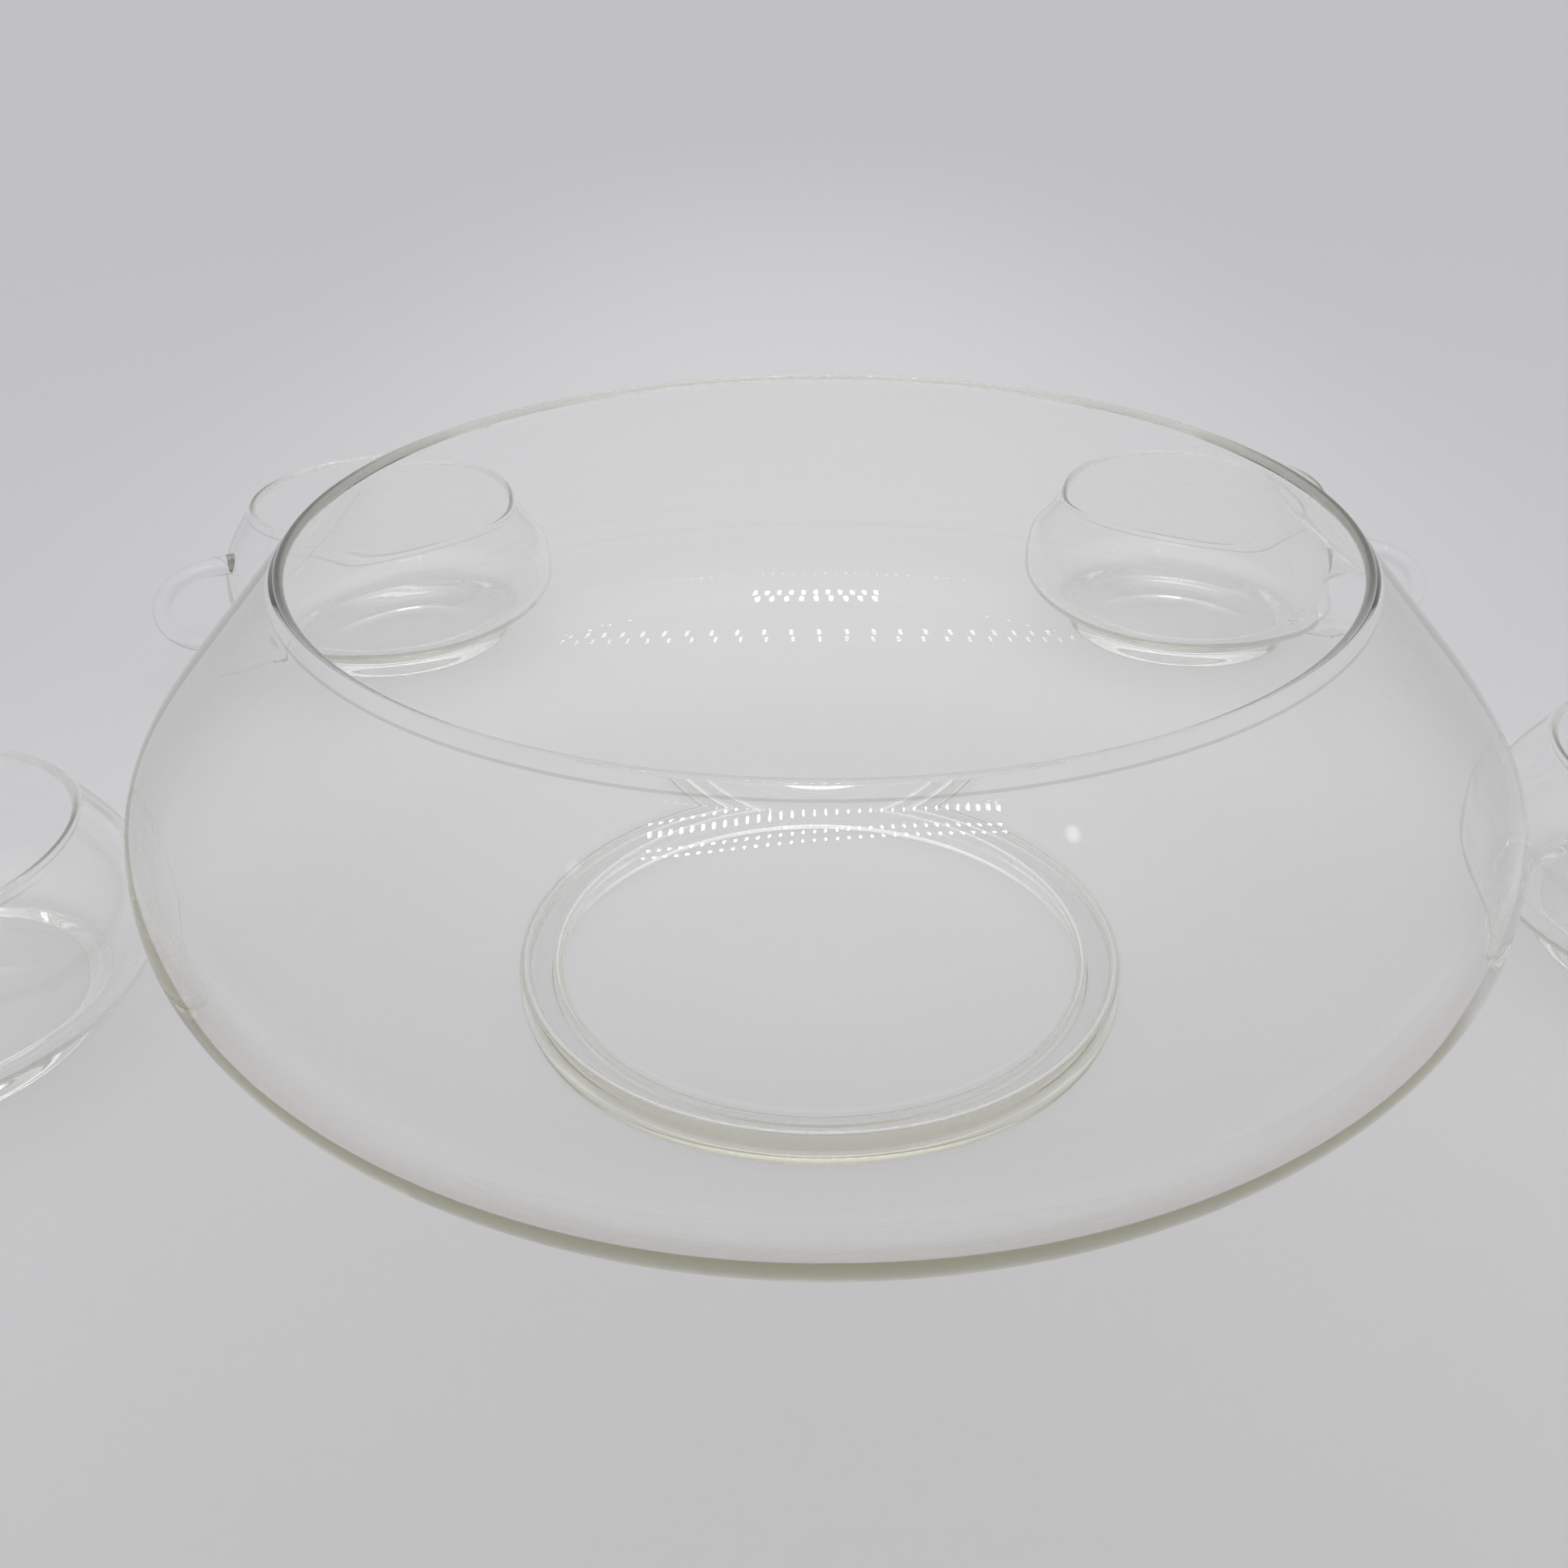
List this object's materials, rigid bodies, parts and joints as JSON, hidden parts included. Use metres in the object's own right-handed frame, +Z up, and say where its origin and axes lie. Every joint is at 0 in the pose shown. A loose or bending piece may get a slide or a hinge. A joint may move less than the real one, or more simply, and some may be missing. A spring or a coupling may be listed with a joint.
{
  "type": "glass serving bowl with cups",
  "caption": "Clear glass serving bowl, low and round with a drawn-in mouth and a foot ring, with small matching handled cups of the same shape set round it.",
  "frame": {"origin": "on the table, in the middle of the whole set seen from above", "axes": "+X to the right along the row of the two front cups, +Y to the back, away from the front cups' side, +Z up; the bowl's axis is at x -4.3 mm, y -49.4 mm"},
  "size_m": [0.5096, 0.3588, 0.104],
  "materials": {
    "bowl_glass": "smooth fire-polished clear glass with a faint cool green at its edges",
    "cup_glass": "smooth clear glass, faintly warm grey in the thick base"
  },
  "bodies": {
    "bowl": {"bowl_shell": "bowl_glass", "bowl_foot_ring": "bowl_glass"},
    "rear_left_cup": {"rear_left_cup": "cup_glass", "rear_left_handle": "cup_glass"},
    "rear_right_cup": {"rear_right_cup": "cup_glass", "rear_right_handle": "cup_glass"},
    "front_left_cup": {"front_left_cup": "cup_glass", "front_left_handle": "cup_glass"},
    "front_right_cup": {"front_right_cup": "cup_glass", "front_right_handle": "cup_glass"}
  },
  "joints": [
    {"name": "rear_left_cup_lift", "type": "slide", "parent": "bowl", "child": "rear_left_cup", "axis": [0, 0, 1], "range_m": [0, 0.12]},
    {"name": "rear_right_cup_lift", "type": "slide", "parent": "bowl", "child": "rear_right_cup", "axis": [0, 0, 1], "range_m": [0, 0.12]},
    {"name": "front_left_cup_lift", "type": "slide", "parent": "bowl", "child": "front_left_cup", "axis": [0, 0, 1], "range_m": [0, 0.12]},
    {"name": "front_right_cup_lift", "type": "slide", "parent": "bowl", "child": "front_right_cup", "axis": [0, 0, 1], "range_m": [0, 0.12]}
  ]
}
